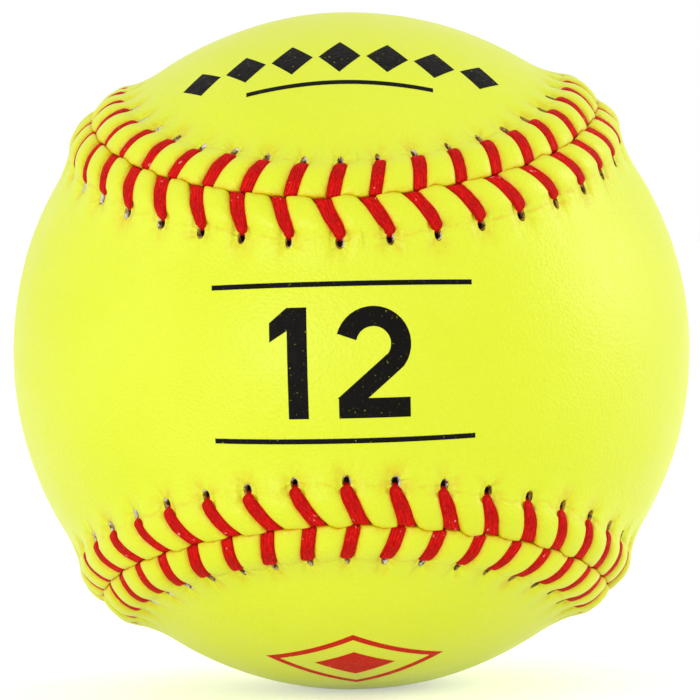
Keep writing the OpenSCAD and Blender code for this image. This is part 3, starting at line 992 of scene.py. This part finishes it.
def leather_material():
    """Yellow pebble-grained leather, with painted shade in amber and darker yellow in its creases and folds,
    pale flesh where it is cut, hole walls painted lit on one side and shaded on the other, and painted
    near-black shade far down in the holes.
    """
    m = Shader("yellow_leather")
    here = m.here()
    slow = m.noise(here, 38.0, 4.0)
    fine = m.noise(here, 2600.0, 2.0)
    tone = m.mix(m.ramp(slow, 0.35, 0.65), LEATHER_DEEP, LEATHER_PALE)
    tone = m.mix(m.ramp(fine, 0.5, 0.75, 0.0, 0.25), tone, LEATHER_PORE)

    # Small folds that run out from each hole
    spot = m.node("ShaderNodeSeparateXYZ", (0, m.attribute("from_hole", "Vector"))).outputs
    level = m.shader("CombineXYZ", (0, spot[0]), (1, spot[1]))
    wide = m.vector("MULTIPLY", m.vector("NORMALIZE", level), (1.35, 1.35, 0.0))
    own = m.shader("CombineXYZ", (2, m.times(spot[2], 5.3)))
    folds = m.ramp(m.noise(m.vector("ADD", wide, own), 1.0, 1.0), 0.35, 0.65)
    puckered = m.attribute("puckered", "Fac")

    # And the crease that joins the holes along the pillows' foot
    wander = m.ramp(m.noise(here, 260.0, 2.0), 0.3, 0.7, 0.0, 0.7)
    off = m.math("DIVIDE", m.plus(spot[1], wander), 0.24)
    line = m.math("EXPONENT", m.times(m.times(off, off), -1.0))
    line = m.times(line, m.ramp(m.noise(here, 500.0, 2.0), 0.35, 0.6, 0.1, 1.0))

    # Painted shade: darker yellow beside a strand or the seam, and amber in the creases and folds, where
    # shade falls
    crease_shade = m.attribute("crease_shade", "Fac")
    valley_shade = m.times(m.math("POWER", crease_shade, 0.35), 0.6)
    tone = m.mix(valley_shade, tone, LEATHER_SHADE)
    broken = m.ramp(m.noise(here, 1100.0, 3.0), 0.35, 0.6, 0.35, 1.0)
    crease_shade = m.times(crease_shade, 0.85)
    # Painted shade also in the small folds round the holes and along the crease that joins them
    fold_shade = m.times(m.math("SUBTRACT", 1.0, folds), m.times(puckered, 0.55))
    deep_shade = m.math("MAXIMUM", crease_shade, m.math("MAXIMUM", fold_shade, m.times(line, 0.40)))
    tone = m.mix(m.times(deep_shade, broken), tone, LEATHER_AMBER_SHADE)

    # The flesh side shows where a hole is cut, cream where painted lit and brown where painted shaded, in
    # patches
    brown_and_shade_mask = m.plus(m.noise(here, 1500.0, 2.0), m.times(m.attribute("painted_lit_side", "Fac"), 0.12))
    brown = m.mix(m.ramp(m.noise(here, 2100.0, 1.0), 0.38, 0.55), (0.10, 0.045, 0.008), (0.56, 0.30, 0.04))
    flesh = m.mix(m.ramp(brown_and_shade_mask, 0.47, 0.57), brown, (0.95, 0.91, 0.80))
    cut = m.attribute("cut_flesh_and_hole_shade", "Fac")
    colour = m.mix(m.ramp(cut, 0.12, 0.32), tone, flesh)
    # Painted shade: near black on the lowest part of each hole's wall and on the underside
    colour = m.mix(m.ramp(cut, 0.7, 1.0), colour, (0.03, 0.018, 0.008))

    folds = m.times(folds, puckered)
    folds = m.math("SUBTRACT", folds, m.times(line, 0.35))
    grain = m.cells(here, 2400.0, "SMOOTH_F1")
    pores = m.noise(here, 5200.0, 2.0)
    wave = m.bump(m.noise(here, 420.0, 3.0), 0.00014, 0.6)
    pucker = m.bump(folds, 0.00020, 0.8, wave)
    pebble = m.bump(m.plus(grain, m.times(pores, 0.35)), 0.00010, 0.7, pucker)
    m.set(
        Base_Color=colour,
        Roughness=m.ramp(m.noise(here, 160.0, 3.0), 0.3, 0.7, 0.36, 0.46),
        Normal=pebble,
        Specular_IOR_Level=0.45,
    )
    return m.material


def thread_material():
    """Waxed red thread: fine filaments, painted shade between the plies, painted sheen in streaks, and pale
    flecks that are partly waxy crumbs and partly painted glints.
    """
    m = Shader("waxed_red_thread")
    strand = m.shader("UVMap", uv_map="strand")
    lay = m.shader("Mapping", ("Vector", strand), ("Rotation", (0.0, 0.0, 0.2)), ("Scale", (0.6, 7.5, 1.0)))
    fibre = m.noise(lay, 1.5, 4.0, 0.6)
    plies = m.noise(lay, 0.5, 2.0, 0.5)
    tone = m.mix(m.ramp(fibre, 0.38, 0.60), (0.62, 0.002, 0.002), (1.00, 0.010, 0.007))
    # Painted shade: darker red in the grooves between the plies
    tone = m.mix(m.ramp(plies, 0.60, 0.42, 0.0, 0.6), tone, (0.38, 0.001, 0.001))
    here = m.here()
    tone = m.mix(m.ramp(m.noise(here, 1900.0, 3.0), 0.46, 0.62, 0.0, 0.45), tone, (0.42, 0.001, 0.001))
    # Pale flecks, partly waxy crumbs and partly painted glints, more of them near the seam where the strand
    # turns down
    near_seam = m.times(m.attribute("at_lead", "Fac"), 0.12)
    flecks = m.plus(m.noise(here, 1500.0, 3.0), near_seam)
    wax_and_glint = m.ramp(flecks, 0.76, 0.82)
    sheen = m.ramp(m.noise(lay, 3.1, 2.0, 0.5), 0.60, 0.72, 0.0, 0.35)
    colour = m.mix(sheen, tone, (0.92, 0.20, 0.16))
    colour = m.mix(m.times(wax_and_glint, 0.7), colour, (0.92, 0.52, 0.48))
    height = m.plus(fibre, m.times(plies, 1.4))
    m.set(
        Base_Color=colour,
        Roughness=m.ramp(fibre, 0.3, 0.7, 0.60, 0.42),
        Normal=m.bump(height, 0.00014, 0.9),
        Specular_IOR_Level=0.06,
    )
    return m.material


def ink_material(name, ink):
    """Printing ink with the leather showing through where the grain took none."""
    m = Shader(name)
    here = m.here()
    bare = m.ramp(m.noise(here, 2400.0, 2.0), 0.68, 0.74, 0.0, 0.5)
    worn = m.times(bare, m.ramp(m.noise(here, 260.0, 2.0), 0.35, 0.65, 0.3, 1.0))
    m.set(
        Base_Color=m.mix(worn, ink, LEATHER_PORE),
        Roughness=m.ramp(m.noise(here, 900.0, 2.0), 0.3, 0.7, 0.42, 0.6),
        Normal=m.bump(m.cells(here, 2400.0, "SMOOTH_F1"), 0.00010, 0.7),
        Specular_IOR_Level=0.06,
    )
    return m.material


def core_material():
    """Moulded polyurethane foam with a fine skin."""
    m = Shader("moulded_core")
    here = m.here()
    colour = m.mix(m.ramp(m.noise(here, 60.0, 4.0), 0.35, 0.65), (0.58, 0.46, 0.26), (0.70, 0.60, 0.38))
    m.set(Base_Color=colour, Roughness=0.6, Normal=m.bump(m.cells(here, 1400.0), 0.0001, 0.4))
    return m.material


def cement_and_hole_shade_material():
    """Brushed coat of amber contact cement, coloured dark brown as painted shade where it shows at the
    bottoms of the holes.
    """
    m = Shader("amber_cement")
    here = m.here()
    colour = m.mix(m.ramp(m.noise(here, 90.0, 4.0), 0.3, 0.7), (0.10, 0.052, 0.016), (0.20, 0.12, 0.045))
    m.set(Base_Color=colour, Roughness=0.35, Normal=m.bump(m.noise(here, 300.0, 4.0), 0.0002, 0.5))
    return m.material


def give(piece, material):
    """The piece takes this material and rides on the one body."""
    piece.data.materials.clear()
    piece.data.materials.append(material)
    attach(piece, "root")


leather = leather_material()
red_thread = thread_material()
for node, material in (("core", core_material()), ("cement_coat", cement_and_hole_shade_material())):
    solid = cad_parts[node]
    solid.data.materials.clear()
    solid.data.materials.append(material)

for name, side, node in (
    ("front_cover_leather", FRONT, "front_cover_panel"),
    ("back_cover_leather", BACK, "back_cover_panel"),
):
    cover = make_cover(name, side)
    give(cover, leather)
    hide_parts(node)

stitches = {side: stitch_template(side) for side in (FRONT, BACK)}
tree = thread_tree()
for name, side, node in (
    ("first_thread", FRONT, "first_needle_thread"),
    ("second_thread", BACK, "second_needle_thread"),
):
    thread = make_thread(name, side, tree, stitches, red_thread)
    give(thread, red_thread)
    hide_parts(node)
for template in stitches.values():
    bpy.data.objects.remove(template)

black_ink = ink_material("black_ink", (0.006, 0.005, 0.004))
red_ink = ink_material("red_ink", (0.66, 0.020, 0.010))
make_print("size_number_print", number_shapes(), 0.0, black_ink)
make_print("lozenge_row_print", lozenge_row(), math.radians(59), black_ink)
make_print("diamond_print", diamond_shapes(), math.radians(-62), red_ink)


# The camera that took the photograph, from the fit of the seam to it
CAMERA_TURNS = (0.0319, -0.0243, -0.0243)
CAMERA_DISTANCE = 13.6 * BALL_R
BALL_RADIUS_PX = 338.4
BALL_CENTRE_PX = (351.3, 350.9)
FRAME_PX = 700


def make_camera():
    ax, ay, az = CAMERA_TURNS
    turn = Matrix.Rotation(ax, 3, "X") @ Matrix.Rotation(ay, 3, "Y") @ Matrix.Rotation(az, 3, "Z")
    back = turn.transposed()
    right, forward, up = back.col[0], back.col[1], back.col[2]
    data = bpy.data.cameras.new("camera")
    data.sensor_width = 36.0
    ratio = CAMERA_DISTANCE / BALL_R
    data.lens = BALL_RADIUS_PX * math.sqrt(ratio * ratio - 1) / FRAME_PX * data.sensor_width
    data.shift_x = (FRAME_PX / 2 - BALL_CENTRE_PX[0]) / FRAME_PX
    data.shift_y = (BALL_CENTRE_PX[1] - FRAME_PX / 2) / FRAME_PX
    data.clip_start, data.clip_end = 0.05, 50.0
    camera = add_object("camera", data)
    columns = Matrix((right, up, -forward)).transposed()
    camera.matrix_world = Matrix.Translation(-forward * CAMERA_DISTANCE * MM) @ columns.to_4x4()
    bpy.context.scene.camera = camera


FLOOR_HALF_M = 6.0
FLOOR_GLOW = 0.42


def background_rays(n):
    """One for rays from the camera, a reflection or glass, and nought for rays that light things."""
    path = n.node("ShaderNodeLightPath").outputs
    seen = path["Is Camera Ray"]
    for name in ("Is Glossy Ray", "Is Transmission Ray"):
        seen = n.math("MAXIMUM", seen, path[name])
    return seen


def make_floor():
    """A wide white floor that the ball rests on. It shows white where nothing shades it."""
    mesh = bpy.data.meshes.new("floor")
    half, z = FLOOR_HALF_M, cad_box[0].z
    corners = [(-half, -half, z), (half, -half, z), (half, half, z), (-half, half, z)]
    mesh.from_pydata(corners, [], [(0, 1, 2, 3)])
    floor = add_object("floor", mesh)
    m = Shader("white_floor")
    seen = background_rays(m)
    m.set(Base_Color=(0.95, 0.95, 0.95, 1.0), Roughness=0.9, Emission_Color=(1.0, 1.0, 1.0, 1.0))
    m.set(Emission_Strength=m.times(seen, FLOOR_GLOW))
    mesh.materials.append(m.material)


def make_world():
    """White where a camera, a reflection or glass sees it, and a soft fill light otherwise."""
    world = bpy.data.worlds.new("studio")
    world.use_nodes = True
    n = Nodes(world.node_tree)
    n.tree.nodes.clear()
    level = n.node("ShaderNodeMapRange", ("Value", background_rays(n)), ("To Min", FILL), ("To Max", 1.0))
    sky = n.node("ShaderNodeBackground", ("Color", (1.0, 1.0, 1.0, 1.0)), ("Strength", level.outputs[0]))
    n.node("ShaderNodeOutputWorld", (0, sky.outputs[0]))
    bpy.context.scene.world = world


# Each lamp's name, place and size in metres, and watts, and then the world's soft fill light
LAMPS = [
    ("left_box", (-1.15, -0.45, 0.25), 0.7, 1.5),
    ("right_box", (1.2, 0.2, 0.4), 0.55, 4.2),
    ("low_box", (-0.55, -1.4, 0.10), 0.4, 5.2),
]
FILL = 0.765


def make_lamp(name, place_m, size_m, watts):
    """A soft box that faces the ball and that the camera doesn't see."""
    data = bpy.data.lights.new(name, "AREA")
    data.shape = "SQUARE"
    data.size = size_m
    data.energy = watts
    lamp = add_object(name, data)
    lamp.location = place_m
    lamp.rotation_mode = "QUATERNION"
    lamp.rotation_quaternion = lamp.location.to_track_quat("Z", "Y")
    lamp.visible_camera = False


make_camera()
make_floor()
make_world()
for lamp in LAMPS:
    make_lamp(*lamp)
bpy.context.scene.view_settings.view_transform = "Standard"
